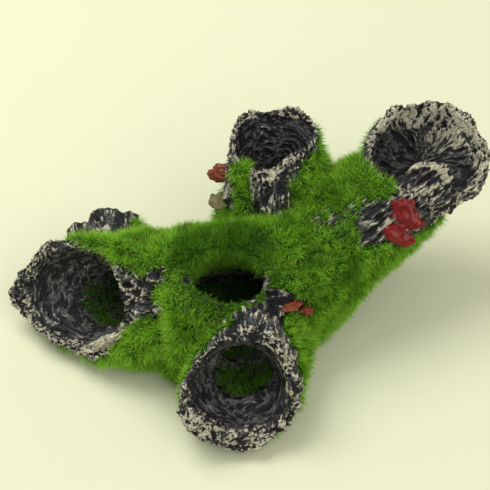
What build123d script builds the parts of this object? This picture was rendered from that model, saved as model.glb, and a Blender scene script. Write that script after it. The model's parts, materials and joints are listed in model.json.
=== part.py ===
"""Resin log cave for an aquarium: a hollow log core with open ends and a roof opening, flocked with fake moss.

Frame: +X along the log's length, +Z up, millimetres. The origin is under the middle of the object, on its flat base.
The log lies along X. A flared mouth opens to the left, another to the front, a stump stands at the back, and
an arm climbs to the right and carries an open bowl. Each casting is glued to the next: the left log and the arm
on spigots, the others on saddles that follow the curved log. Bracket fungi sit in drilled sockets on pegs.
"""
from build123d import *
import math
import os

# ---- driving dimensions ----
moss_coat = 1.4       # glue film and matted fibre roots, under the free fibre tips
moss_clear = 3.0      # bare resin left above the surface that the cave stands on
spigot_length = 4.0   # how far a spigot enters its neighbour
glue_gap = 0.12       # room for glue round a spigot, a peg and the base plate
peg_radius = 1.5      # peg behind each bracket fungus
peg_length = 5.0
plate_thickness = 3.5
ring_points = 14      # points in one cross-section outline
far = 400.0           # larger than the whole object
base_centre = (1.5, 4.85)  # middle of the whole object in these working coordinates
left_plug_size = (24, 20)   # radii of the left log's spigot, across and up
arm_plug_size = (12, 12)    # radii of the arm's spigot


def unit(v):
    """The same direction with length one."""
    return Vector(*v).normalized()


def ring(centre, facing, across, wide, tall, gnarl=(), grow=0.0):
    """One closed cross-section of a log: an ellipse that faces `facing`, with gnarled lobes.

    gnarl holds (lobes round the ring, share of the radius, phase in degrees)."""
    n = unit(facing)
    side = Vector(*across)
    side = (side - n * side.dot(n)).normalized()
    rise = n.cross(side)
    points = []
    for i in range(ring_points):
        turn = 2 * math.pi * i / ring_points
        r = 1 + sum(size * math.cos(lobes * turn + math.radians(phase)) for lobes, size, phase in gnarl)
        step = side * ((wide + grow) * r * math.cos(turn)) + rise * ((tall + grow) * r * math.sin(turn))
        points.append(Vector(*centre) + step)
    return Wire([Spline(*points, periodic=True).edge()])


def log(sections, across, grow=0.0):
    """A solid log through (centre, facing, wide, tall, gnarl) sections."""
    return Solid.make_loft([ring(c, f, across, w, t, g, grow) for c, f, w, t, g in sections])


def beyond(point, facing):
    """Everything on the far side of a plane, the side that it faces."""
    return Plane(origin=point, z_dir=unit(facing)) * Pos(0, 0, far / 2) * Box(far, far, far)


def along(start, run, distance):
    """The point a distance from start in the direction of run."""
    return tuple(Vector(*start) + unit(run) * distance)


def back(run):
    """The opposite direction."""
    return tuple(unit(run) * -1)


def cut(shape, *tools):
    for tool in tools:
        shape = shape - tool
    return shape


# ---- how gnarled each log is ----
bark = ((2, 0.03, 40), (3, 0.035, 110), (5, 0.025, 20))
bark_turned = ((2, 0.03, 75), (3, 0.04, 160), (5, 0.025, 80))
square_bark = ((4, 0.07, 180), (3, 0.03, 60))
three_sided_bark = ((3, 0.10, -21), (2, 0.08, -40), (5, 0.02, 40))
smooth = ((3, 0.02, 30),)

underside = Pos(0, 0, -far / 2) * Box(far, far, far)
moss_floor_line = Pos(0, 0, moss_clear - far / 2) * Box(far, far, far)

# ---- the log's axis: left joint, core, right joint ----
left_joint = (-46, 4, 22)
left_run = (-0.95, -0.27, 0.14)
right_joint = (40, 25, 37)
right_run = (0.76, 0.52, 0.34)

# ---- left log, cut off on the slant so that its lower lip reaches out ----
left_rim = (-76, 0, 33)
left_rim_facing = (-0.42, -0.62, 0.66)
left_sections = [
    ((-122, -10, 40), left_run, 31, 28, bark_turned),
    ((-98, -5, 36), left_run, 30, 27.5, bark_turned),
    ((-72, -1, 29), left_run, 29, 28, bark),
    (left_joint, left_run, 31, 32, bark),
]
left_funnel = [
    ((-93, -11, 42), left_rim_facing, 34, 29, bark_turned),
    ((-84.5, 0.5, 29), left_rim_facing, 29.5, 24.5, bark_turned),
    ((-72, 7, 21), left_rim_facing, 18, 17, smooth),
]
left_throat = [
    ((-75, 4, 24), left_rim_facing, 14.5, 14.5, smooth),
    ((-65, 7.5, 20), (-0.75, -0.50, 0.40), 14.5, 14, smooth),
    (along(left_joint, left_run, -6), left_run, 18, 15, smooth),
]

# ---- core of the log, hollow and open underneath ----
core_sections = [
    (left_joint, left_run, 31, 32, bark),
    ((-15, 2, 20), (-1, -0.05, 0), 34, 40, bark),
    ((14, 10, 22), (-0.95, -0.3, -0.1), 29.5, 39, bark),
    (right_joint, back(right_run), 25.5, 25.5, bark),
]
cavity_sections = [
    (along(left_joint, left_run, 2), left_run, 20, 17, smooth),
    ((-15, 3, 14), (-1, -0.05, 0), 27, 33, smooth),
    ((12, 10, 15), (-0.95, -0.3, -0.1), 22, 32, smooth),
    ((30, 14, 24), back(right_run), 14, 15, smooth),
]
roof_centre = (-9, -3, 40)
roof_facing = (0.05, -0.22, 0.97)
roof_wide, roof_tall = 19, 14.5

# ---- front log ----
front_rim = (-1, -55, 28)
front_rim_facing = (0.10, -0.74, 0.66)
front_sections = [
    ((-7, -88, 32), (0.02, -0.97, 0.16), 29, 25, bark),
    ((-2, -56, 27), (0.05, -0.97, 0.12), 27, 24, bark_turned),
    ((3, -30, 23), (0.05, -0.98, 0.05), 25, 26, bark),
    ((5, -4, 20), (0.0, -1, 0.0), 23, 23, bark),
]
front_funnel = [
    ((0, -68, 43), front_rim_facing, 28, 26, bark),
    ((-2, -54, 29), front_rim_facing, 23, 22, bark_turned),
    ((-2, -42, 22), front_rim_facing, 17, 14.5, smooth),
]
front_throat = [
    ((-2, -44, 24), front_rim_facing, 14, 12, smooth),
    ((1, -32, 20), (0.05, -0.95, 0.30), 14, 13, smooth),
    ((3, -12, 20), (0, -1, 0), 16, 14.5, smooth),
]

# ---- rear stump ----
stump_rim = (12, 60, 78.5)
stump_rim_facing = (-0.14, -0.36, 0.92)
stump_sections = [
    ((11, 64, 99), (-0.05, 0.28, 0.96), 21.5, 17, three_sided_bark),
    ((12, 60, 77), (0.02, 0.28, 0.96), 20.5, 15.5, three_sided_bark),
    ((16, 51, 56), (0.05, 0.40, 0.91), 25, 18, bark),
    ((16, 32, 28), (0.05, 0.50, 0.86), 29, 21, bark),
]
stump_bore = [
    ((11, 64, 101), (-0.05, 0.28, 0.96), 18.5, 14, three_sided_bark),
    ((12, 60, 77), (0.02, 0.28, 0.96), 17.5, 12.5, three_sided_bark),
    ((12, 51, 56), (0.05, 0.40, 0.91), 14, 11, smooth),
    ((7, 26, 30), (0.05, 0.60, 0.80), 12, 11, smooth),
]

# ---- right arm and its bowl ----
arm_sections = [
    (right_joint, back(right_run), 25.5, 25.5, bark),
    ((58, 38, 45), back(right_run), 26.5, 25, bark_turned),
    ((75, 49, 52), back(right_run), 25, 22, bark_turned),
    ((91, 59, 57), back(right_run), 22, 16, bark),
]
bowl_rim = (91, 59, 71)
bowl_facing = (-0.05, -0.46, 0.89)
bowl_sections = [
    ((92, 50, 92), bowl_facing, 35, 32, bark),
    ((91, 59, 71), bowl_facing, 30.5, 28, bark_turned),
    ((88, 63, 56), bowl_facing, 27, 24, bark_turned),
    ((84, 64, 44), bowl_facing, 20, 17, bark),
    ((82, 64, 36), bowl_facing, 9, 8, bark),
]
bowl_lip = [
    ((86, 33, 54), (0, 0.50, 0.86), 15, 6, smooth),
    ((87, 36, 64), (-0.05, 0.45, 0.89), 15.5, 5.5, smooth),
    ((88, 41, 73), (-0.05, 0.55, 0.83), 12.5, 4.5, smooth),
    ((89, 45, 78), (-0.05, 0.65, 0.76), 6, 2.5, smooth),
]
bowl_bore = [
    ((92, 49, 94), bowl_facing, 31, 28, bark),
    ((91, 59, 71), bowl_facing, 27, 24, bark_turned),
    ((88, 62, 58), bowl_facing, 21, 18, smooth),
    ((86, 63, 50), bowl_facing, 11, 9, smooth),
]

# ---- left rear root, broken off in a shallow dish ----
root_sections = [
    ((-74, 54, 21), (-0.25, 0.93, 0.25), 19, 15, square_bark),
    ((-72, 44, 19), (-0.20, 0.95, 0.2), 20, 18, bark),
    ((-68, 28, 17), (-0.10, 0.99, 0), 20, 20, bark_turned),
    ((-64, 8, 18), (0, 1, 0), 20, 18, bark),
]
root_dish = ((-75, 56, 27), 12)

# ---- solid logs, and the hollows inside them ----
X, Y = (1, 0, 0), (0, 1, 0)
left_log = log(left_sections, Y)
core_log = log(core_sections, Y)
front_log = log(front_sections, X)
stump_log = log(stump_sections, X)
arm_log = log(arm_sections, Y)
bowl_cup = log(bowl_sections, X)
root_log = log(root_sections, X)
left_hole = log(left_funnel, X) + log(left_throat, Y)
cavity = log(cavity_sections, Y)
front_hole = log(front_funnel, X) + log(front_throat, X)
stump_hole = log(stump_bore, X)
bowl_hole = log(bowl_bore, X)


def spigot(joint, run, wide, tall, gap=0.0):
    """A short plug that reaches from a joint into its neighbour, against run."""
    ends = [along(joint, run, 0.5), along(joint, run, -spigot_length - gap)]
    return log([(end, run, wide, tall, smooth) for end in ends], Y, gap)


# an oval hole through the core's roof, cut from inside the chamber outwards
roof_plane = Plane(origin=roof_centre, x_dir=X, z_dir=unit(roof_facing))
roof_hole = roof_plane * extrude(Ellipse(roof_wide, roof_tall), amount=40)

# ---- bracket fungi: (name, log that carries it, centre, way out of the log, way its flat side faces, sizes) ----
# sizes are width, reach and thickness
brackets = [
    ("upper_red_bracket", "right_arm", (75, 24.5, 62.5), (0.17, -0.65, 0.74), (-0.1, -0.95, 0.30), (18, 9, 5)),
    ("lower_red_bracket", "right_arm", (74, 18.5, 55.5), (0.35, -0.88, 0.32), (0.25, -0.35, 0.90), (18, 8, 5.5)),
    ("small_red_bracket", "right_arm", (84.5, 25, 57), (0.5, -0.8, 0.3), (0, 0, 1), (6, 3.5, 3.5)),
    ("rear_red_bracket", "rear_stump", (-6, 55, 62), (-0.95, 0.1, 0.15), (-0.3, -0.6, 0.75), (12, 10, 5)),
    ("rear_olive_bracket", "rear_stump", (-11, 42, 48), (-0.95, -0.2, 0.1), (0, 0, 1), (14, 7, 4.5)),
    ("front_orange_bracket", "core", (22, -17, 42.5), (0.35, -0.75, 0.56), (0, 0, 1), (13, 5, 4)),
    ("front_brown_bracket", "core", (30, -15.5, 38), (0.5, -0.8, 0.3), (0, 0, 1), (8, 5.5, 4.5)),
]


def bracket(centre, outward, face, width, reach, thickness):
    """A shelf with a rounded lip: a flattened ball whose back half is in the log."""
    ball = scale(Sphere(1), by=(width / 2, reach, thickness / 2))
    level = unit(face).cross(unit(outward))
    return Plane(origin=centre, x_dir=level, z_dir=unit(face)) * ball


def peg(centre, outward, radius, extra=0.0):
    """The round peg behind a bracket, from inside its shelf to peg_length into the log."""
    body = Cylinder(radius, peg_length + 1.5 + extra)
    return Plane(origin=centre, z_dir=unit(outward)) * Pos(0, 0, 1.5 - (peg_length + 1.5 + extra) / 2) * body


# ---- castings ----
parts = {}
left_plug = cut(spigot(left_joint, left_run, *left_plug_size), beyond(left_joint, left_run))
parts["left_log_mouth"] = cut(left_log, beyond(left_rim, left_rim_facing), underside) + left_plug - left_hole
arm_plug = cut(spigot(right_joint, right_run, *arm_plug_size), beyond(right_joint, right_run))
parts["right_arm"] = cut(arm_log, bowl_cup) + arm_plug
parts["core"] = cut(
    core_log, cavity, front_hole, stump_hole, left_hole, roof_hole, underside,
    spigot(left_joint, left_run, *left_plug_size, glue_gap), spigot(right_joint, right_run, *arm_plug_size, glue_gap),
)
parts["front_log_mouth"] = cut(front_log, core_log, beyond(front_rim, front_rim_facing), front_hole, underside)
parts["rear_stump"] = cut(stump_log, core_log, arm_log, beyond(stump_rim, stump_rim_facing), stump_hole)
parts["right_bowl"] = cut(bowl_cup, beyond(bowl_rim, bowl_facing), bowl_hole) + cut(log(bowl_lip, X), arm_log)
parts["left_rear_root"] = cut(
    root_log, left_log, core_log, underside, Pos(*root_dish[0]) * Sphere(root_dish[1])
)
slab = Pos(0, 0, plate_thickness / 2) * Box(far, far, plate_thickness)
chamber_end = beyond(along(left_joint, left_run, -spigot_length - 2), left_run)
parts["base_plate"] = cut(log(cavity_sections, Y, -glue_gap) & slab, chamber_end)

# ---- fake moss: a coat on each casting, cut round the bare bark, and a mat on the chamber floor ----
coat_slab = Pos(0, 0, plate_thickness + moss_coat / 2) * Box(far, far, moss_coat)
parts["floor_moss"] = cut(log(cavity_sections, Y, -glue_gap) & coat_slab, chamber_end)

left_coat = log(left_sections, Y, moss_coat)
core_coat = log(core_sections, Y, moss_coat)
front_coat = log(front_sections, X, moss_coat)
stump_coat = log(stump_sections, X, moss_coat)
arm_coat = log(arm_sections, Y, moss_coat)
bowl_coat = log(bowl_sections, X, moss_coat)
root_coat = log(root_sections, X, moss_coat)
left_bare = beyond(along(left_rim, left_rim_facing, -5), left_rim_facing)
left_spur_bare = Pos(-50, -11, 54) * Box(25, 27, 26)
front_bare = beyond(along(front_rim, front_rim_facing, -7), front_rim_facing)
front_top_bare = Pos(6, -34, 60) * Box(26, 40, 44)
stump_bare = beyond(along(stump_rim, stump_rim_facing, -4), stump_rim_facing)
stump_front_bare = Pos(12, 26, 64) * Box(22, 40, 30)
bowl_bare = beyond(along(bowl_rim, bowl_facing, -6), bowl_facing)
bowl_side_bare = Pos(100, 60, 60) * Box(60, 80, 60)
arm_bare = Pos(70, 16, 62) * Box(34, 30, 16)
arm_end_bare = Pos(88, 30, 62) * Box(36, 34, 26)
saddle_bare = Pos(20, -22, 50) * Box(22, 22, 30)
root_bare = Pos(-74, 75, 20) * Box(60, 50, 80)

parts["core_moss"] = cut(
    core_coat, core_log, left_log, front_log, stump_log, root_log, arm_log, roof_hole,
    left_spur_bare, saddle_bare, moss_floor_line,
)
parts["left_moss"] = cut(left_coat, left_log, core_coat, root_log, left_bare, left_spur_bare, moss_floor_line)
parts["front_moss"] = cut(front_coat, front_log, core_coat, front_bare, front_top_bare, moss_floor_line)
parts["arm_moss"] = cut(arm_coat, arm_log, core_coat, stump_log, bowl_cup, arm_bare, arm_end_bare)
parts["stump_moss"] = cut(stump_coat, stump_log, core_coat, arm_coat, stump_bare, stump_front_bare)
parts["bowl_moss"] = cut(bowl_coat, bowl_cup, arm_coat, bowl_bare, bowl_side_bare)
parts["root_moss"] = cut(root_coat, root_log, left_coat, core_coat, root_bare, moss_floor_line)

logs = {"right_arm": arm_log, "rear_stump": stump_log, "core": core_log}
coats = {"right_arm": "arm_moss", "rear_stump": "stump_moss", "core": "core_moss"}
for name, carrier, centre, outward, face, sizes in brackets:
    shelf = bracket(centre, outward, face, *sizes)
    parts[name] = cut(shelf, logs[carrier], front_log) + peg(centre, outward, peg_radius)
    parts[carrier] = parts[carrier] - peg(centre, outward, peg_radius + glue_gap, glue_gap)
    parts[coats[carrier]] = parts[coats[carrier]] - shelf - peg(centre, outward, peg_radius + glue_gap, glue_gap)
    if carrier == "core":
        parts["front_moss"] = parts["front_moss"] - shelf

os.makedirs("parts", exist_ok=True)
for name, shape in parts.items():
    piece = max(shape.solids(), key=lambda solid: solid.volume)
    export_step(Pos(-base_centre[0], -base_centre[1], 0) * piece, f"parts/{name}.step")
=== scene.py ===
"""A resin log cave for an aquarium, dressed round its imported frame. It is put together in the order that the
real one is: the bark castings, the plate under the chamber, the flock moss, and the bracket fungi on pegs.
Metres, +X along the log, +Z up, -Y towards the front mouth."""
import json
import math

import bmesh
import bpy
import numpy as np
from mathutils import Matrix, Vector, bvhtree, noise


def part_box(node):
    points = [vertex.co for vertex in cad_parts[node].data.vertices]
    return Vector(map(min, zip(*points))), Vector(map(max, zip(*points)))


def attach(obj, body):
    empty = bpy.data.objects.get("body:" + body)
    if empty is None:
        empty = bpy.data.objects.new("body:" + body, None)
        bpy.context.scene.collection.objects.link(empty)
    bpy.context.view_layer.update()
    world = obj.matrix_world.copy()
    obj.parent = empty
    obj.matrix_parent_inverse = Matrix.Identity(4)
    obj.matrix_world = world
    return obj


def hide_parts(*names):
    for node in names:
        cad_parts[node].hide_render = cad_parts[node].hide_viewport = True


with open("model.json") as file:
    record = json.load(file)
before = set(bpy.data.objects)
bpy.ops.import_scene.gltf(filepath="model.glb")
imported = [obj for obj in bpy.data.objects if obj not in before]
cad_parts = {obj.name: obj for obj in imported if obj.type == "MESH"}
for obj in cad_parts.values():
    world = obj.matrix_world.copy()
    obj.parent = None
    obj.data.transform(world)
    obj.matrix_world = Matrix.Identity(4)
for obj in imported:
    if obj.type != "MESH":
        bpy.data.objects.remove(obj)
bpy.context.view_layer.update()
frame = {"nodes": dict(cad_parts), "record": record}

noise.seed_set(5)  # noise_vector starts from a random place until it is given one

# ---- Core of the log ----
# The middle casting: a hollow resin log with an opening in its roof. The mould was taken from old bark, so the
# skin has long grooves along the log, lumps and cracks. It was painted charcoal and dry-brushed with cream.
mm = 0.001
bark_voxel = 0.67 * mm
openings = {o["name"]: o["box_m"] for o in frame["record"]["physics"]["openings"]}


def middle(name):
    """The centre of one of the record's openings."""
    low, high = openings[name]
    return (Vector(low) + Vector(high)) / 2


def new_piece(name, mesh, slot_name, *nodes):
    """An object for a mesh that rides on the one body and stands for these CAD nodes."""
    piece = bpy.data.objects.new(name, mesh)
    bpy.context.scene.collection.objects.link(piece)
    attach(piece, "root")
    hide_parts(*nodes)
    return piece


def settle(piece):
    """Applies a piece's modifiers to its mesh."""
    graph = bpy.context.evaluated_depsgraph_get()
    mesh = bpy.data.meshes.new_from_object(piece.evaluated_get(graph))
    piece.modifiers.clear()
    piece.data = mesh


def drop_bubbles(mesh, smallest=600):
    """Deletes the closed bubbles that remeshing leaves inside thin walls: shells with fewer corners."""
    bm = bmesh.new()
    bm.from_mesh(mesh)
    unseen, bubbles = set(bm.verts), []
    while unseen:
        shell, waiting = [], [unseen.pop()]
        while waiting:
            corner = waiting.pop()
            shell.append(corner)
            fresh = {edge.other_vert(corner) for edge in corner.link_edges} & unseen
            unseen -= fresh
            waiting.extend(fresh)
        if len(shell) < smallest:
            bubbles += shell
    bmesh.ops.delete(bm, geom=bubbles, context="VERTS")
    bm.to_mesh(mesh)
    bm.free()


def casting(node, name, add=None):
    """A bark casting: the CAD node merged, with any spurs added, turned into small even faces."""
    bm = bmesh.new()
    bm.from_mesh(frame["nodes"][node].data)
    bmesh.ops.remove_doubles(bm, verts=bm.verts, dist=0.002 * mm)
    if add:
        add(bm)
    mesh = bpy.data.meshes.new(name)
    bm.to_mesh(mesh)
    bm.free()
    piece = new_piece(name, mesh, "bark_resin", node)
    even = piece.modifiers.new("even", "REMESH")
    even.mode = "VOXEL"
    even.voxel_size = bark_voxel
    rounded = piece.modifiers.new("rounded", "SMOOTH")
    rounded.iterations = 5
    settle(piece)
    drop_bubbles(piece.data)
    return piece


def points(mesh, what="co"):
    """The corners of a mesh, or their normals, as rows of numbers."""
    rows = np.empty(len(mesh.vertices) * 3)
    if what == "co":
        mesh.vertices.foreach_get("co", rows)
    else:
        mesh.vertex_normals.foreach_get("vector", rows)
    return rows.reshape(-1, 3)


def ramp(value, low, high):
    """0 below low, 1 above high, and a smooth step between them."""
    t = np.clip((value - low) / (high - low), 0, 1)
    return t * t * (3 - 2 * t)


def spread(value):
    """A noise field rescaled so that its middle is 0 and its highest tenth starts at 1."""
    low, high = np.percentile(value, (50, 90))
    return (value - low) / (high - low)


def noise_at(co, size):
    """Plain noise at each point, between about -1 and 1, with features of a size."""
    return np.array([noise.noise(Vector(p) / size) for p in co])


def noise_shift(co, size):
    """A noise vector at each point."""
    return np.array([noise.noise_vector(Vector(p) / size) for p in co])


def grain_places(co, run, inside, mouth, rays):
    """Places to sample patterns at, so that they run along the log outside. Inside a mouth they run round the
    hollow, or down it as rays."""
    run = np.array(run)
    along = np.outer(co @ run, run)
    place = co - along * 0.78
    if mouth:
        bearing = around(co, mouth)
        ring = np.stack([np.cos(bearing), np.sin(bearing)], 1) * 20 * mm
        out = co - np.array(mouth["centre"])
        depth = mouth_depth(co, mouth)
        height = out @ np.array(mouth["facing"])
        radius = np.sqrt(np.maximum((out * out).sum(1) - height * height, 0))
        down = (depth - radius)[:, None]
        inner = np.hstack([ring, down * 0.25] if rays else [ring * 0.4, down * 0.8])
        inner += noise_shift(co, 9 * mm) * 3 * mm
        place = np.where(inside[:, None] > 0.5, inner, place)
    return place


def sampled(place, size, pattern):
    """A noise pattern's value at each place."""
    return spread(np.array([pattern(Vector(p)) for p in place / size]))


def ridges(p):
    """Sharp crests with rounded valleys between them."""
    return noise.ridged_multi_fractal(p, 0.9, 2.1, 4, 1.0, 2.0)


def lumps(p):
    """Soft swellings."""
    return noise.fractal(p, 0.8, 2.0, 3)


def mouth_depth(co, mouth):
    """How far each point is behind the plane of a mouth's rim."""
    facing = np.array(mouth["facing"])
    return mouth["reach"] - co @ facing


def on_rim(co, mouth):
    """Each point's place on a mouth's rim plane: to the right and up from its centre."""
    facing = mouth["facing"]
    right = (Vector((1, 0, 0)) - facing * facing.x).normalized()
    out = co - np.array(mouth["centre"])
    return out @ np.array(right), out @ np.array(facing.cross(right))


def around(co, mouth):
    """The bearing of each point round a mouth's centre, anticlockwise from the right as seen from in front."""
    right, up = on_rim(co, mouth)
    return np.arctan2(up, right)


def a_mouth(node, facing, centre, strip=1.0):
    """A mouth, whose rim plane touches the casting's farthest point in the direction that it faces. Its rim
    turns into grained bark to the right of strip."""
    facing = Vector(facing).normalized()
    reach = (points(frame["nodes"][node].data) @ np.array(facing)).max()
    return {"facing": facing, "reach": reach, "centre": Vector(centre), "strip": strip}


def near_angle(bearing, degrees, width):
    """1 at a bearing, falling to 0 at a width in degrees on each side."""
    away = np.abs((bearing - math.radians(degrees) + math.pi) % (2 * math.pi) - math.pi)
    return ramp(-away, -math.radians(width), 0)


def rag_rim(mesh, mouth, ragged, chips, band=9 * mm):
    """Breaks a mouth's edge: uneven all round, with chips (degrees, width, height) down or up at some bearings.
    Nothing further than band behind the rim moves."""
    co = points(mesh)
    bearing = around(co, mouth)
    ring = np.stack([np.cos(bearing), np.sin(bearing), np.full(len(co), mouth["reach"] * 40)], 1)
    rise = ragged * sum(share * noise_at(ring * often, 1) for share, often in ((1, 2.2), (0.7, 5), (0.5, 11)))
    for degrees, width, height in chips:
        rise += near_angle(bearing, degrees, width) * height
    hold = ramp(-mouth_depth(co, mouth), -band, 0)
    co += np.outer(rise * hold, np.array(mouth["facing"]))
    mesh.vertices.foreach_set("co", co.ravel())
    mesh.update()


def moss_cover(co, casting_node, coat_node, stray=2.6 * mm):
    """Where the flock sticks: under the CAD coat, with a straying edge."""
    trees = [bvhtree.BVHTree.FromPolygons([v.co for v in m.vertices], [p.vertices for p in m.polygons])
             for m in (frame["nodes"][casting_node].data, frame["nodes"][coat_node].data)]
    cover = np.empty(len(co))
    for i, row in enumerate(co):
        p = Vector(row)
        strayed = p + noise.noise_vector(p / (5 * mm)) * stray + noise.noise_vector(p / (2 * mm)) * stray * 0.3
        on_skin = trees[0].find_nearest(strayed)[0]
        cover[i] = trees[1].find_nearest(on_skin)[3]
    return ramp(-cover, -0.6 * mm, -0.3 * mm)


def near_line(co, start, end, radius):
    """1 on the line between two points, in millimetres, falling to 0 past a radius."""
    start, end = np.array(start) * mm, np.array(end) * mm
    line = end - start
    share = np.clip((co - start) @ line / (line @ line), 0, 1)
    off = np.linalg.norm(start + np.outer(share, line) - co, axis=1)
    return 1 - ramp(off, radius * 0.8 * mm, radius * 1.3 * mm)


def in_hollow(co, normal, start, end):
    """1 where a surface faces the line from start to end, which runs through a hollow."""
    start, end = np.array(start), np.array(end)
    line = end - start
    share = np.clip((co - start) @ line / (line @ line), 0, 1)
    to_axis = start + np.outer(share, line) - co
    return ramp((normal * to_axis).sum(1) / np.linalg.norm(to_axis, axis=1), -0.1, 0.35)


def weather(piece, run, cover, hollow=None, mouth=None, brushed=4 * mm, well_brushed=(0, 1, 0), heavy=0,
            rays=False, deep=1.0, pale=()):
    """Raises the bark's crests and cuts its cracks on a casting, and keeps what the painter follows in two
    attributes: the crests, the brushed rim, the inside of the hollow, the glue film under the moss, and the way
    of the grain. well_brushed holds a bearing, its width and how much further in the brush went, heavy is how
    much more paint the inside of that rim took, and pale holds painted lines."""
    mesh = piece.data
    co, normal = points(mesh), points(mesh, "normal")
    inside = in_hollow(co, normal, *hollow) if hollow else np.zeros(len(co))
    rim = cut_face = strip = np.zeros(len(co))
    if mouth:
        depth, bearing = mouth_depth(co, mouth), around(co, mouth)
        degrees, width, further = well_brushed
        rim = 1 - ramp(depth / (brushed + further * near_angle(bearing, degrees, width)), 0, 1)
        cut_face = (1 - ramp(depth, 2 * mm, 6 * mm)) * ramp(depth, -3.5 * mm, -2 * mm)
        strip = ramp(on_rim(co, mouth)[0], mouth["strip"], mouth["strip"] + 3 * mm) * (1 - inside)
        rim *= (1 - strip) * (0.3 + 0.7 * ramp(depth, -4 * mm, -2 * mm))
    grain = grain_places(co, Vector(run).normalized(), inside, mouth, rays)
    crest = sampled(grain, 3.4 * mm, ridges)
    crest += (0.8 * sampled(co, 1.9 * mm, ridges) - crest) * cut_face * (1 - strip) * 0.8
    crack = ramp(sampled(grain + 0.05, 4.6 * mm, ridges), 0.55, 1.1)
    lump = sampled(co, 11 * mm, lumps)
    fine = sampled(grain, 1.3 * mm, ridges)
    under_moss = cover(co, inside)
    calm = 1 - 0.7 * inside
    rise = deep * calm * (0.65 * np.clip(crest, -1.3, 1.3) - 1.1 * crack + 0.3 * np.clip(fine, -2, 2))
    rise = np.clip(rise + (1 - 0.6 * inside) * np.clip(lump, -1.5, 1.5), -1.2, 2.8)
    worn = 0.5 + 0.28 * crest - 0.5 * crack + 0.12 * fine + heavy * rim * inside
    for start, end, radius in pale:
        worn += 0.5 * near_line(co, start, end, radius)
    foot = ramp(co[:, 2], 0.2 * mm, 3 * mm)
    co += normal * (rise * foot * mm)[:, None]
    co[:, 2] = np.maximum(co[:, 2], 0)
    mesh.vertices.foreach_set("co", co.ravel())
    layer = mesh.color_attributes.new("bark", "FLOAT_COLOR", "POINT")
    layer.data.foreach_set("color", np.stack([np.clip(worn, -0.3, 1.3), rim, inside, under_moss], 1).ravel())
    layer = mesh.attributes.new("grain", "FLOAT_VECTOR", "POINT")
    layer.data.foreach_set("vector", grain.ravel())
    mesh.shade_smooth()
    mesh.update()


def node_at(tree, kind, x, **settings):
    """A shader node, placed and set."""
    made = tree.nodes.new(kind)
    made.location = (x, -200 * len(tree.nodes))
    for key, value in settings.items():
        setattr(made, key, value)
    return made


def wire(tree, *pairs):
    """Joins outputs to inputs."""
    for output, socket in pairs:
        tree.links.new(output, socket)


def maths(tree, operation, a, b):
    """A Math node on two values, each a socket or a number."""
    made = node_at(tree, "ShaderNodeMath", -400, operation=operation)
    for socket, value in zip(made.inputs, (a, b)):
        if isinstance(value, bpy.types.NodeSocket):
            tree.links.new(value, socket)
        else:
            socket.default_value = value
    return made.outputs[0]


def blend(tree, share, first, second):
    """A Mix node between two colours, each a socket or red, green and blue."""
    made = node_at(tree, "ShaderNodeMix", -200, data_type="RGBA")
    tree.links.new(share, made.inputs["Factor"])
    for socket, value in zip((made.inputs[6], made.inputs[7]), (first, second)):
        if isinstance(value, bpy.types.NodeSocket):
            tree.links.new(value, socket)
        else:
            socket.default_value = (*value, 1)
    return made.outputs[2]


def speckle(tree, place, scale, detail=2.0, rough=0.5):
    """A noise texture's value, by features per metre."""
    made = node_at(tree, "ShaderNodeTexNoise", -600)
    made.inputs["Scale"].default_value = scale
    made.inputs["Detail"].default_value = detail
    made.inputs["Roughness"].default_value = rough
    tree.links.new(place, made.inputs["Vector"])
    return made.outputs[0]


def stepped(tree, value, low, high):
    """0 below low and 1 above high."""
    made = node_at(tree, "ShaderNodeMapRange", -300, interpolation_type="SMOOTHSTEP")
    tree.links.new(value, made.inputs["Value"])
    made.inputs["From Min"].default_value = low
    made.inputs["From Max"].default_value = high
    return made.outputs[0]


def finish_material(name):
    """A new material, its node tree, its shader and its place coordinates."""
    material = bpy.data.materials.new(name)
    material.use_nodes = True
    tree = material.node_tree
    shader = tree.nodes["Principled BSDF"]
    place = node_at(tree, "ShaderNodeTexCoord", -1000).outputs["Object"]
    return material, tree, shader, place


charcoal, soot = (0.052, 0.052, 0.056), (0.006, 0.006, 0.007)
cream, stone = (0.66, 0.62, 0.44), (0.26, 0.25, 0.19)
dust = (0.21, 0.205, 0.175)
glue_film = (0.012, 0.040, 0.003)


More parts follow.
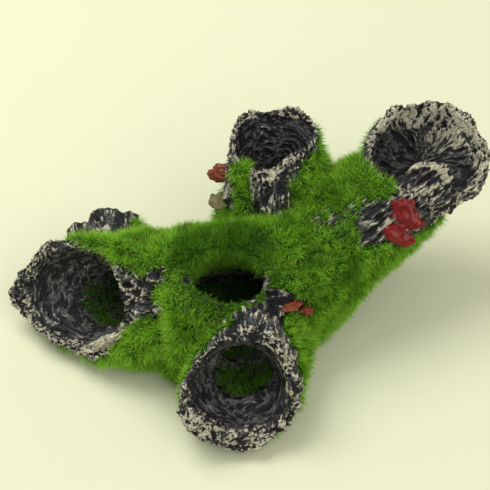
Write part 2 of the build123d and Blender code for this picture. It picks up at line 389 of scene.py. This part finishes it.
def bark_paint():
    """Charcoal resin, with cream dry-brushed over its crests and rims and green glue under the moss."""
    material, tree, shader, place = finish_material("dry_brushed_bark")
    bark = node_at(tree, "ShaderNodeAttribute", -1000, attribute_name="bark")
    split = node_at(tree, "ShaderNodeSeparateColor", -800)
    wire(tree, (bark.outputs["Color"], split.inputs[0]))
    worn, rim, inside = split.outputs
    grain = node_at(tree, "ShaderNodeAttribute", -1000, attribute_name="grain").outputs["Vector"]
    mottle = speckle(tree, place, 640, 6.0, 0.72)
    streak = speckle(tree, grain, 800, 6.0, 0.72)
    patch = speckle(tree, place, 170, 3.0, 0.6)
    fine = maths(tree, "ADD", streak, maths(tree, "MULTIPLY", maths(tree, "SUBTRACT", mottle, streak), rim))
    body = blend(tree, stepped(tree, maths(tree, "ADD", worn, fine), 0.7, 1.25), soot, charcoal)
    scratch = speckle(tree, grain, 1900, 3.0, 0.6)
    dusty = stepped(tree, maths(tree, "ADD", maths(tree, "MULTIPLY", worn, 0.35), scratch), 0.66, 0.90)
    body = blend(tree, maths(tree, "MULTIPLY", dusty, 0.6), body, dust)
    brush = maths(tree, "ADD", worn, maths(tree, "MULTIPLY", rim, 0.30))
    brush = maths(tree, "ADD", brush, maths(tree, "MULTIPLY", fine, 2.3))
    brush = maths(tree, "ADD", brush, maths(tree, "MULTIPLY", patch, 1.5))
    untouched = maths(tree, "MULTIPLY", inside, maths(tree, "SUBTRACT", 1, rim))
    brush = maths(tree, "SUBTRACT", brush, maths(tree, "MULTIPLY", untouched, 0.4))
    brushed = stepped(tree, brush, 2.50, 2.86)
    paint = blend(tree, stepped(tree, scratch, 0.38, 0.62), stone, cream)
    colour = blend(tree, brushed, body, paint)
    colour = blend(tree, bark.outputs["Alpha"], colour, glue_film)
    bump = node_at(tree, "ShaderNodeBump", -200)
    bump.inputs["Strength"].default_value = 0.9
    bump.inputs["Distance"].default_value = 0.35 * mm
    wire(tree, (colour, shader.inputs["Base Color"]), (brush, bump.inputs["Height"]),
         (bump.outputs[0], shader.inputs["Normal"]))
    wire(tree, (maths(tree, "ADD", maths(tree, "MULTIPLY", brushed, 0.2), 0.5), shader.inputs["Roughness"]))
    shader.inputs["Specular IOR Level"].default_value = 0.3
    return material


bark_material = bark_paint()

core_run = (-1, -0.05, 0)
roof_centre = middle("roof_opening")
roof_reach = Vector((21, 17)) * mm


def core_cover(co, inside):
    """The core's coat, the back of the roof opening's edge, and the chamber's back wall, all flocked."""
    cover = moss_cover(co, "core", "core_moss") * (1 - inside)
    off = (co - np.array(roof_centre)) / np.array((*roof_reach, 1))
    in_edge = (off[:, 0] ** 2 + off[:, 1] ** 2 < 1) & (off[:, 1] > -0.1) & (co[:, 2] > 38 * mm)
    on_back = inside * ramp(off[:, 1], 0.5, 0.8) * ramp(-np.abs(off[:, 0]), -1.2, -1.0)
    on_back *= ramp(co[:, 2], 14 * mm, 20 * mm)
    return np.maximum(np.maximum(cover, in_edge), on_back)


core_bark = casting("core", "core_bark")
chamber = middle("chamber")
weather(core_bark, core_run, core_cover,
        hollow=(chamber - Vector((0.04, 0, 0)), chamber + Vector((0.03, 0, 0))))

# ---- Left log ----
# A flared log end glued on a spigot, cut off on the slant, with a thick broken lip. Two sharp spurs and a strip
# of ridged bark reach back over the core from it, and a flake lies on the lip at the lower right. Each spur and
# flake is given by its two ends and its radius, in millimetres.
left_run = (-0.95, -0.27, 0.14)
left_mouth = a_mouth("left_log_mouth", (-0.42, -0.62, 0.66), middle("left_mouth"), strip=24 * mm)
spurs = [((-49, -12, 46), (-40, -6.5, 55), 4.0), ((-53, -20, 39), (-38.5, -24, 43.5), 5.0)]
flake = [(-79, -24, 13.5), (-63, -24.5, 25.5), 2.8]


def laid_along(start, end, *scale):
    """The place of a shape modelled along Z, scaled and laid half way from start to end, and their distance."""
    start, end = Vector(start) * mm, Vector(end) * mm
    turn = (end - start).to_track_quat("Z", "Y").to_matrix().to_4x4()
    return Matrix.Translation((start + end) / 2) @ turn @ Matrix.Diagonal((*scale, 1, 1)), (end - start).length


def add_spur(bm, base, tip, radius):
    """A sharp broken spur of bark from base to tip."""
    place, length = laid_along(base, tip, 1, 0.55)
    bmesh.ops.create_cone(bm, cap_ends=True, segments=9, radius1=radius * mm, radius2=0.6 * mm,
                          depth=length, matrix=place)


def add_flake(bm, start, end, radius):
    """A long rounded flake of bark from start to end."""
    place, length = laid_along(start, end, radius * mm, radius * mm * 0.8)
    place = place @ Matrix.Diagonal((1, 1, length / 2, 1))
    bmesh.ops.create_uvsphere(bm, u_segments=16, v_segments=12, radius=1, matrix=place)


def add_left_lumps(bm):
    for base, tip, radius in spurs:
        add_spur(bm, base, tip, radius)
    add_flake(bm, *flake)


def coat(casting_node, coat_node):
    """A casting's plain moss cover, as its CAD coat has it."""
    return lambda co, inside: moss_cover(co, casting_node, coat_node) * (inside < 0.05)


def left_cover(co, inside):
    """The coat also climbs over the right of the rim, above and below a bare strip that ends in two spurs."""
    right, up = (part / mm for part in on_rim(co, left_mouth))
    stray = noise_at(co, 3 * mm)
    above = ramp(up - np.interp(right, (-12, 12, 22, 34, 46), (26.5, 21.5, 15.5, 11.5, 14)) - 2 * stray, 0, 0.8)
    below = ramp(np.interp(right, (18, 24, 36, 48), (-30, -19, -11, -10)) - up + 2 * stray, 0, 0.8)
    beyond = ramp(right + 2 * stray, 42, 43) * ramp(-np.abs(up + 1), -8, -6)
    climbed = np.maximum(np.maximum(above, below), beyond) * ramp(right, -14, -8)
    for base, tip, radius in spurs:
        climbed *= 1 - near_line(co, base, tip, radius)
    cover = coat("left_log_mouth", "left_moss")(co, inside)
    return np.maximum(cover, climbed * (inside < 0.5)) * (1 - near_line(co, *flake))


left_bark = casting("left_log_mouth", "left_log_bark", add_left_lumps)
rag_rim(left_bark.data, left_mouth, 1.8 * mm, [(120, 12, -2 * mm), (165, 14, 1.5 * mm)])
weather(left_bark, left_run, left_cover, hollow=(middle("left_mouth"), middle("left_throat")), mouth=left_mouth,
        brushed=3.5 * mm, well_brushed=(235, 100, 13 * mm), pale=[flake])

# ---- Front log ----
# The second flared end, saddled on the core and facing the front. Its rim is broad, broken and well brushed,
# with a thick burr on its right.
front_run = (0.05, -0.97, 0.12)
front_mouth = a_mouth("front_log_mouth", (0.10, -0.74, 0.66), middle("front_mouth"))
burr = [(21, -53, 32), (22, -60, 24), 4.5]
front_bark = casting("front_log_mouth", "front_log_bark", lambda bm: add_flake(bm, *burr))
rag_rim(front_bark.data, front_mouth, 2.2 * mm, [(330, 12, -2 * mm), (40, 25, 1.5 * mm), (255, 10, -1.5 * mm)])
weather(front_bark, front_run, coat("front_log_mouth", "front_moss"),
        hollow=(middle("front_mouth"), middle("front_throat")), mouth=front_mouth, brushed=3.5 * mm,
        well_brushed=(275, 110, 5 * mm), deep=0.9)

# ---- Rear stump ----
# A squarish hollow stump, open at the top, glued on the core's back. Its wall is thin and its rim is broken.
stump_run = (0.04, 0.34, 0.94)
stump_mouth = a_mouth("rear_stump", (-0.14, -0.36, 0.92), middle("stump_mouth"))


def stump_cover(co, inside):
    """The coat leaves the stump's left flank bare, except for a tuft that climbs its front left corner."""
    flank = ramp(-co[:, 0], 4 * mm, 6 * mm) * ramp(co[:, 2], 50 * mm, 56 * mm)
    tuft = near_line(co, (-2, 33, 56), (-3, 41, 70), 4.5)
    return np.maximum(moss_cover(co, "rear_stump", "stump_moss") * (1 - flank), tuft) * (inside < 0.05)


stump_bark = casting("rear_stump", "rear_stump_bark")
rag_rim(stump_bark.data, stump_mouth, 1.6 * mm, [(60, 14, 1.5 * mm), (100, 10, -1 * mm)])
weather(stump_bark, stump_run, stump_cover, hollow=(middle("stump_mouth"), middle("stump_throat")),
        mouth=stump_mouth, brushed=3.5 * mm)

# ---- Right arm ----
# A closed branch on a spigot, with a strip of bare bark along its top.
arm_run = (0.76, 0.52, 0.34)
arm_bark = casting("right_arm", "right_arm_bark")


def arm_cover(co, inside):
    """The coat wears thin along the arm's top, where the bare strip starts."""
    thin = near_line(co, (36, 17, 58), (70, 21, 63), 7)
    return moss_cover(co, "right_arm", "arm_moss") * (1 - 0.9 * thin * (sampled(co, 3 * mm, lumps) > -0.4))


weather(arm_bark, arm_run, arm_cover)

# ---- Right bowl ----
# An open bowl on the end of the arm: a scalloped rim, a pale back wall, and a lip of bark that curls in at the
# front. The lip stands above the rim, so the rim plane is set by a point on it.
bowl_run = (0.80, 0.42, 0.42)
bowl_mouth = a_mouth("right_bowl", (-0.05, -0.46, 0.89), middle("right_bowl"))
on_bowl_rim = Vector((89.5, 54.2, 72)) * mm
bowl_mouth["reach"] = bowl_mouth["facing"].dot(on_bowl_rim)
lip_edge = [(73, 36, 68), (78, 38, 76.5), (88.5, 38, 79.5), (98.5, 32, 71.5)]
bowl_bark = casting("right_bowl", "right_bowl_bark")
rag_rim(bowl_bark.data, bowl_mouth, 1.8 * mm, [(95, 5, -4 * mm), (112, 5, -4 * mm), (75, 4, -3 * mm)])
weather(bowl_bark, bowl_run, coat("right_bowl", "bowl_moss"),
        hollow=(middle("right_bowl"), middle("right_bowl") + bowl_mouth["facing"] * 20 * mm),
        mouth=bowl_mouth, brushed=4 * mm, well_brushed=(60, 120, 28 * mm), heavy=0.35, rays=True,
        pale=[(*ends, 1.8) for ends in zip(lip_edge, lip_edge[1:])])

# ---- Left rear root ----
# A broken root behind the left log, with a shallow dish in its end.
root_run = (-0.2, 0.95, 0.2)
root_lump = [(-84, 45, 26), (-64, 46, 30), 9]
root_knob = [(-74, 35, 33), (-72, 35, 34), 2.6]


def add_root_lumps(bm):
    add_flake(bm, *root_lump)
    add_flake(bm, *root_knob)


root_bark = casting("left_rear_root", "left_rear_root_bark", add_root_lumps)
root_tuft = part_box("left_rear_root")[0].x + 32 * mm


def root_cover(co, inside):
    """The root's coat stops short of its broken end, except for a tuft on the right."""
    near_core, tuft = 1 - ramp(co[:, 1], 27 * mm, 31 * mm), ramp(co[:, 0], root_tuft, root_tuft + 2 * mm)
    return moss_cover(co, "left_rear_root", "root_moss") * np.maximum(near_core, tuft)


weather(root_bark, root_run, root_cover, deep=0.45, pale=[root_knob])

castings = [core_bark, left_bark, front_bark, stump_bark, arm_bark, bowl_bark, root_bark]
for piece in castings:
    piece.data.materials.clear()
    piece.data.materials.append(bark_material)

# ---- Base plate ----
# A flat resin plate that closes the chamber underneath, painted dark like the castings.
material, tree, shader, place = finish_material("plate_paint")
wire(tree, (blend(tree, speckle(tree, place, 300), soot, charcoal), shader.inputs["Base Color"]))
shader.inputs["Roughness"].default_value = 0.6
plate = frame["nodes"]["base_plate"]
plate.data.materials.clear()
plate.data.materials.append(material)

# ---- Moss ----
# Green nylon flock: cut fibres shot into wet glue, so they stand off the bark at all sorts of angles and lean
# in tufts. Each coat's own node is replaced by its fibres.
fibre_length = (3.8 * mm, 7.0 * mm)
fibre_radius, glued_depth = 0.19 * mm, 0.4 * mm
fibres_per_mm2 = 2.6
most_fibres = 29000


def blade(bent):
    """One fibre of length one along Z: a three-sided spike, with a joint half way if it is bent."""
    bm = bmesh.new()
    bmesh.ops.create_cone(bm, cap_ends=True, segments=3, radius1=1, radius2=0, depth=1,
                          matrix=Matrix.Translation((0, 0, 0.5)))
    if bent:
        bmesh.ops.bisect_plane(bm, geom=bm.verts[:] + bm.edges[:] + bm.faces[:], plane_co=(0, 0, 0.5),
                               plane_no=(0, 0, 1))
    bmesh.ops.triangulate(bm, faces=bm.faces)
    bm.verts.index_update()
    corners = np.array([v.co for v in bm.verts])
    faces = np.array([[v.index for v in f.verts] for f in bm.faces])
    bm.free()
    return corners, faces


blades = [blade(False), blade(True)]


def unit_rows(rows):
    return rows / np.maximum(np.linalg.norm(rows, axis=1), 1e-9)[:, None]


def sprinkle(mesh, density, weight, rng):
    """Random places on a mesh and their normals. weight is each corner's share of the full density."""
    mesh.calc_loop_triangles()
    tris = np.empty(len(mesh.loop_triangles) * 3, int)
    mesh.loop_triangles.foreach_get("vertices", tris)
    tris = tris.reshape(-1, 3)
    co, normal = points(mesh), points(mesh, "normal")
    a, b, c = (co[tris[:, k]] for k in range(3))
    area = np.linalg.norm(np.cross(b - a, c - a), axis=1) / 2
    share = area * weight[tris].mean(1)
    count = int(min(share.sum() / mm ** 2 * density, most_fibres))
    pick = rng.choice(len(tris), count, p=share / share.sum())
    u, v = rng.random((2, count))
    over = u + v > 1
    u[over], v[over] = 1 - u[over], 1 - v[over]
    root = a[pick] + (b - a)[pick] * u[:, None] + (c - a)[pick] * v[:, None]
    out = (normal[tris[pick, 0]] * (1 - u - v)[:, None] + normal[tris[pick, 1]] * u[:, None]
           + normal[tris[pick, 2]] * v[:, None])
    return root, unit_rows(out)


def fibres(name, root, out, rng, droop=0.25, node=None, short=1.0, light=1.0):
    """A piece of flock: one blade for each root, leaning with its tuft and drooping by its weight. short scales
    its length, and light is painted light and shade: under 1 it darkens the fibres' colour, over 1 it lightens
    it."""
    count = len(root)
    tuft = noise_shift(root, 7 * mm)
    lean = out + 0.75 * tuft + 0.42 * rng.normal(size=(count, 3)) + np.array((0, 0, -droop))
    lean = unit_rows(lean)
    lean += out * np.maximum(0.25 - (lean * out).sum(1), 0)[:, None]
    lean = unit_rows(lean)
    length = rng.uniform(*fibre_length, count) * short
    side = unit_rows(np.cross(lean, rng.normal(size=(count, 3))))
    other = np.cross(lean, side)
    sag = rng.uniform(-0.3, 0.3, count) * length
    # The fibres' shade and tint are scaled by light, which paints light and shade over their random tone.
    shade = (noise_at(root, 9 * mm) * 0.5 + 0.5) * light
    tint = rng.random(count) * light
    is_bent = rng.random(count) < 0.35
    corners, faces, colours, start = [], [], [], 0
    for (shape, sides), chosen in zip(blades, (~is_bent, is_bent)):
        n = int(chosen.sum())
        x, y, z = shape.T
        lay = (root[chosen][:, None] - lean[chosen][:, None] * glued_depth
               + lean[chosen][:, None] * (length[chosen][:, None] * z)[..., None]
               + side[chosen][:, None] * (x * fibre_radius + sag[chosen][:, None] * z ** 2)[..., None]
               + other[chosen][:, None] * (np.broadcast_to(y * fibre_radius, (n, len(y))))[..., None])
        corners.append(lay.reshape(-1, 3))
        faces.append((sides[None] + (start + np.arange(n) * len(shape))[:, None, None]).reshape(-1, 3))
        parts = (z, tint[chosen][:, None], shade[chosen][:, None], np.ones(1))
        colours.append(np.stack([np.broadcast_to(part, (n, len(z))) for part in parts], -1).reshape(-1, 4))
        start += n * len(shape)
    corners = np.concatenate(corners)
    corners[:, 2] = np.maximum(corners[:, 2], 0.2 * mm)
    mesh = bpy.data.meshes.new(name)
    mesh.from_pydata(corners, [], np.concatenate(faces))
    layer = mesh.color_attributes.new("fibre", "FLOAT_COLOR", "POINT")
    layer.data.foreach_set("color", np.concatenate(colours).ravel())
    mesh.materials.append(moss_material)
    return new_piece(name, mesh, "moss_flock", *([node] if node else []))


# Painted shade and light: the dark root green stands for the shade down among the fibres, and the yellow green
# tip for light glowing through them.
root_shade_green, shade_green = (0.022, 0.075, 0.006), (0.020, 0.075, 0.003)
blade_green, tip_glow_green = (0.19, 0.49, 0.020), (0.56, 0.88, 0.09)


def moss_paint():
    """Flock fibres: painted shade at the root, leaf green blades, a painted yellow green glow at the tip, no
    two alike.
    """
    material, tree, shader, place = finish_material("flock_fibre")
    fibre = node_at(tree, "ShaderNodeAttribute", -1000, attribute_name="fibre")
    split = node_at(tree, "ShaderNodeSeparateColor", -800)
    wire(tree, (fibre.outputs["Color"], split.inputs[0]))
    height, tint, shade = split.outputs
    colour = blend(tree, stepped(tree, height, 0.0, 0.55), root_shade_green, blade_green)
    tipped = maths(tree, "ADD", maths(tree, "MULTIPLY", tint, 0.9), 0.15)
    tip = maths(tree, "MULTIPLY", stepped(tree, height, 0.45, 1.0), tipped)
    colour = blend(tree, tip, colour, tip_glow_green)
    # Fibres with a low shade or tint go dark: a random tone, with painted shade where light is under 1.
    dark = maths(tree, "MULTIPLY", stepped(tree, shade, 0.60, 0.10), 0.7)
    dark = maths(tree, "MAXIMUM", dark, maths(tree, "MULTIPLY", stepped(tree, tint, 0.45, 0.0), 0.8))
    colour = blend(tree, dark, colour, shade_green)
    wire(tree, (colour, shader.inputs["Base Color"]))
    shader.inputs["Roughness"].default_value = 0.55
    shader.inputs["Specular IOR Level"].default_value = 0.12
    return material


moss_material = moss_paint()


def bark_layer(piece):
    """What weather kept for each corner: its crest, rim, inside and moss cover."""
    rows = np.empty(len(piece.data.vertices) * 4)
    piece.data.color_attributes["bark"].data.foreach_get("color", rows)
    return rows.reshape(-1, 4)


def thick_or_thin(co, cover):
    """Flock lies thick in most places and thin in patches."""
    return cover * (0.65 + 0.5 * ramp(noise_at(co, 11 * mm), -0.35, 0.1))


def round_the_opening(root):
    """How much painted light and shade the fibres get, and how short they are: painted shade in the dip behind
    the roof opening, painted light on the left where the key lamp falls, and worn short along the opening's
    front edge."""
    from_roof = (root - np.array(roof_centre))[:, :2] / np.array(roof_reach)
    off = np.linalg.norm(from_roof, axis=1)
    behind = from_roof[:, 1] / off
    # Painted shade in the dip behind the opening, and painted light on the left, where the key lamp falls.
    light = 0.4 + 0.6 * ramp(off - 0.75 * np.clip(behind, 0, 1), 0.8, 1.1)
    light *= 1 + 0.3 * ramp(-root[:, 0], 15 * mm, 45 * mm)
    return light, 1 - 0.55 * ramp(-off, -1.4, -1.15) * (behind < 0.2)


coats = [("core_moss", core_bark, 3), ("left_moss", left_bark, 1), ("front_moss", front_bark, 1),
         ("arm_moss", arm_bark, 1), ("stump_moss", stump_bark, 1), ("bowl_moss", bowl_bark, 1),
         ("root_moss", root_bark, 1)]
for seed, (node, bark, lots) in enumerate(coats):
    cover = bark_layer(bark)[:, 3]
    co = points(bark.data)
    weight = thick_or_thin(co, ramp(cover, 0.35, 0.65))
    for lot in range(lots):
        rng = np.random.default_rng(100 * seed + lot)
        root, out = sprinkle(bark.data, fibres_per_mm2 / lots, weight, rng)
        painted_light_and_shade, short = round_the_opening(root)
        fibres(f"{node}_fibres_{lot + 1}", root, out, rng, node=node, short=short, light=painted_light_and_shade)

# ---- Moss on the floors inside ----
# The same flock laid on the floors of the two throats, and on the base plate, where it shows through the
# mouths. It is thinner there, and painted much darker, as painted shade in the hollows.
# Painted shade: the flock inside is darkened nearly to black in its colour, standing for the shade in the
# hollows.
painted_shade_inside = 0.05
throats = [("left", left_bark, left_mouth), ("front", front_bark, front_mouth)]
for seed, (name, bark, mouth) in enumerate(throats):
    rng = np.random.default_rng(500 + seed)
    co, normal = points(bark.data), points(bark.data, "normal")
    past_ring = ramp(mouth_depth(co, mouth), 15 * mm, 17 * mm)
    weight = bark_layer(bark)[:, 2] * past_ring * ramp(normal[:, 2], 0.1, 0.4)
    root, out = sprinkle(bark.data, fibres_per_mm2 * 0.3, weight, rng)
    fibres(f"{name}_throat_moss", root, out, rng, droop=0.0, light=painted_shade_inside)

rng = np.random.default_rng(77)
mat = frame["nodes"]["floor_moss"].data
upward = (points(mat, "normal")[:, 2] > 0.3).astype(float)
root, out = sprinkle(mat, fibres_per_mm2 * 0.45, upward, rng)
fibres("floor_moss_fibres", root, out, rng, droop=0.0, node="floor_moss", light=painted_shade_inside)

# ---- Bracket fungi ----
# Small cast shelves on pegs, painted: three in gloss red on the arm, and rust or olive ones on the stump and
# beside the front log. Each stands where its peg does.
red, rust, olive = (0.20, 0.005, 0.003), (0.20, 0.036, 0.008), (0.15, 0.13, 0.045)


def fungus_paint(name, colour, gloss):
    """Brushed enamel, darker in its hollows."""
    material, tree, shader, place = finish_material(name)
    patch = speckle(tree, place, 420, 3.0, 0.6)
    dark = tuple(c * 0.4 for c in colour)
    wire(tree, (blend(tree, stepped(tree, patch, 0.3, 0.6), dark, colour), shader.inputs["Base Color"]))
    bump = node_at(tree, "ShaderNodeBump", -200)
    bump.inputs["Strength"].default_value = 0.25
    bump.inputs["Distance"].default_value = 0.4 * mm
    wire(tree, (patch, bump.inputs["Height"]), (bump.outputs[0], shader.inputs["Normal"]))
    shader.inputs["Roughness"].default_value = gloss
    shader.inputs["Specular IOR Level"].default_value = 0.32
    return material


fungus_finish = {"red_fungus": fungus_paint("gloss_red", red, 0.13),
                 "rust_fungus": fungus_paint("satin_rust", rust, 0.4),
                 "olive_fungus": fungus_paint("satin_olive", olive, 0.5)}
slots = {sub["node"]: sub["material_slot"] for sub in frame["record"]["subparts"]}


def shelf(node, centre, outward, face, size, lobed, turned_up):
    """A bracket in millimetres: a flattened shell with growth rings and a lobed edge that turns up. size is its
    width, its reach from the bark and its thickness."""
    centre, outward, face = Vector(centre), Vector(outward).normalized(), Vector(face).normalized()
    across = outward.cross(face).normalized()
    place = Matrix((across, face.cross(across), face)).transposed()
    width, reach, thickness = size
    bm = bmesh.new()
    bmesh.ops.create_icosphere(bm, subdivisions=5, radius=1)
    for corner in bm.verts:
        x, y, z = corner.co
        away = math.hypot(x, y)
        bearing = Vector((x, y, 0)) / max(away, 1e-6)
        ragged = noise.noise(bearing * 1.2 + centre) + 0.35 * noise.noise(bearing * 3.5 + centre)
        lobe = 1 + away * lobed * ragged
        rings = 0.09 * math.sin(13 * away * lobe) * (1 - abs(away - 0.6))
        lift = turned_up * away ** 2 + 0.35 * noise.noise(Vector((x, y, 0)) * 1.5 + centre)
        corner.co = (centre + place @ Vector((x * lobe * width / 2, y * lobe * reach / 2,
                                              (z + rings + lift) * thickness / 2))) * mm
    mesh = bpy.data.meshes.new(node)
    bm.to_mesh(mesh)
    bm.free()
    mesh.shade_smooth()
    mesh.materials.append(fungus_finish[slots[node]])
    return new_piece(f"{node}_shelf", mesh, slots[node], node)


shelf("upper_red_bracket", (74.5, 19, 62), (0.25, -0.80, 0.5), (-0.1, -0.75, 0.65), (17, 16, 4), 0.45, 0.5)
shelf("lower_red_bracket", (72, 12, 57), (-0.44, -0.81, -0.3), (0.25, -0.45, 0.86), (19, 10, 5), 0.1, -0.3)
shelf("small_red_bracket", (83, 19, 57), (0.5, -0.8, 0.3), (0, 0, 1), (6, 6, 3.5), 0.3, 0.2)
shelf("rear_red_bracket", (-12.5, 50.5, 60), (-0.95, 0.1, 0.15), (-0.3, -0.6, 0.75), (10, 13, 4.5), 0.5, 0.3)
shelf("rear_olive_bracket", (-15, 38, 52), (-0.95, -0.2, 0.1), (0, 0, 1), (12, 10, 3.5), 0.4, 0.3)
shelf("front_orange_bracket", (20.5, -22, 43), (0.35, -0.75, 0.56), (0, 0, 1), (12, 5, 2.5), 0.6, 0.4)
shelf("front_brown_bracket", (28.5, -20.5, 38.5), (0.5, -0.8, 0.3), (0, 0, 1), (7, 5, 3), 0.5, 0.3)

# ---- Floor, light and camera ----
# A plain pale floor, soft light from behind on the left, and the camera above the front.
bm = bmesh.new()
bmesh.ops.create_grid(bm, x_segments=1, y_segments=1, size=3)
floor_mesh = bpy.data.meshes.new("floor")
bm.to_mesh(floor_mesh)
bm.free()
floor = bpy.data.objects.new("floor", floor_mesh)
bpy.context.scene.collection.objects.link(floor)
material, tree, shader, place = finish_material("floor_card")
shader.inputs["Base Color"].default_value = (0.72, 0.735, 0.515, 1)
shader.inputs["Roughness"].default_value = 0.9
floor_mesh.materials.append(material)

aim = Vector((-1.5, 29.15, 30)) * mm
rise, away = math.radians(48), 650 * mm
view = Vector((0, math.cos(rise), -math.sin(rise)))


def light(name, place, power, size, colour):
    lamp = bpy.data.lights.new(name, "AREA")
    lamp.energy, lamp.size, lamp.color = power, size, colour
    made = bpy.data.objects.new(name, lamp)
    made.location = place
    made.rotation_euler = (aim - Vector(place)).to_track_quat("-Z", "Y").to_euler()
    bpy.context.scene.collection.objects.link(made)


light("key", (-0.5, 0.45, 1.1), 11, 0.8, (1, 0.99, 0.96))
light("fill", (0.5, -0.7, 0.9), 5, 1.0, (1, 1, 0.97))
world = bpy.data.worlds.new("studio")
world.use_nodes = True
world.node_tree.nodes["Background"].inputs["Color"].default_value = (1.0, 1.0, 0.97, 1)
world.node_tree.nodes["Background"].inputs["Strength"].default_value = 0.55
bpy.context.scene.world = world
bpy.context.scene.view_settings.view_transform = "Standard"

camera = bpy.data.objects.new("camera", bpy.data.cameras.new("camera"))
camera.data.lens, camera.data.sensor_width = 94.3, 36
camera.location = aim - view * away
camera.rotation_euler = view.to_track_quat("-Z", "Y").to_euler()
bpy.context.scene.collection.objects.link(camera)
bpy.context.scene.camera = camera
